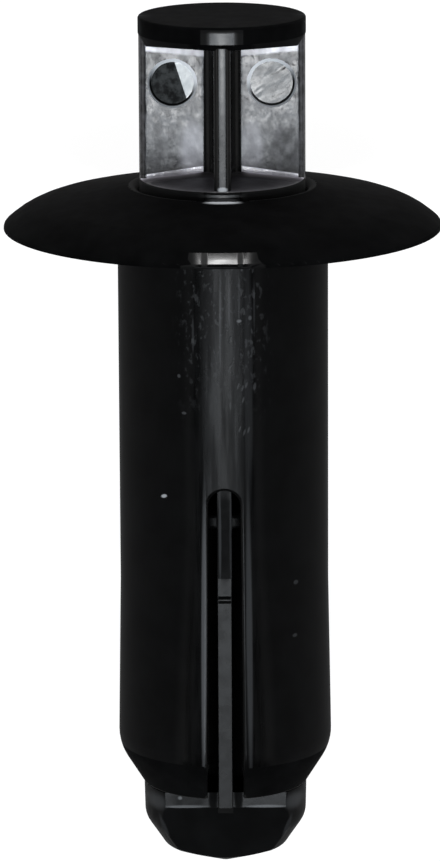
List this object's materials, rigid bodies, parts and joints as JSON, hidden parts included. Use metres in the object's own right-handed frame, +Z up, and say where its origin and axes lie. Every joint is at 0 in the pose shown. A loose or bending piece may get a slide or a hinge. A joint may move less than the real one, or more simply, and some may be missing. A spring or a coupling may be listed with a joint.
{
  "type": "plastic push rivet",
  "caption": "Black plastic push rivet with a domed flange, slotted expanding barrel and a ribbed drive pin pulled out ready to push.",
  "frame": {"origin": "on the barrel's axis, in the plane of the flange's underside", "axes": "+Z up from the surface it lies on; +Y level, along the rivet towards the pin's cap; the rivet lies on the rim of its flange and on the two edges of its rear slot, so the barrel's axis rises 12.08 degrees from +Y towards the cap; +X across, parallel to the flange"},
  "size_m": [0.02, 0.0399, 0.0196],
  "materials": {
    "grommet_plastic": "as moulded, lightly scuffed black nylon",
    "pin_plastic": "as moulded, lightly scuffed black nylon"
  },
  "bodies": {
    "grommet": {"grommet": "grommet_plastic"},
    "pin": {"drive_pin": "pin_plastic"}
  },
  "joints": [
    {"name": "pin_drive", "type": "slide", "parent": "grommet", "child": "pin", "axis": [0, -0.9779, -0.2093], "range_m": [0, 0.0077]}
  ]
}
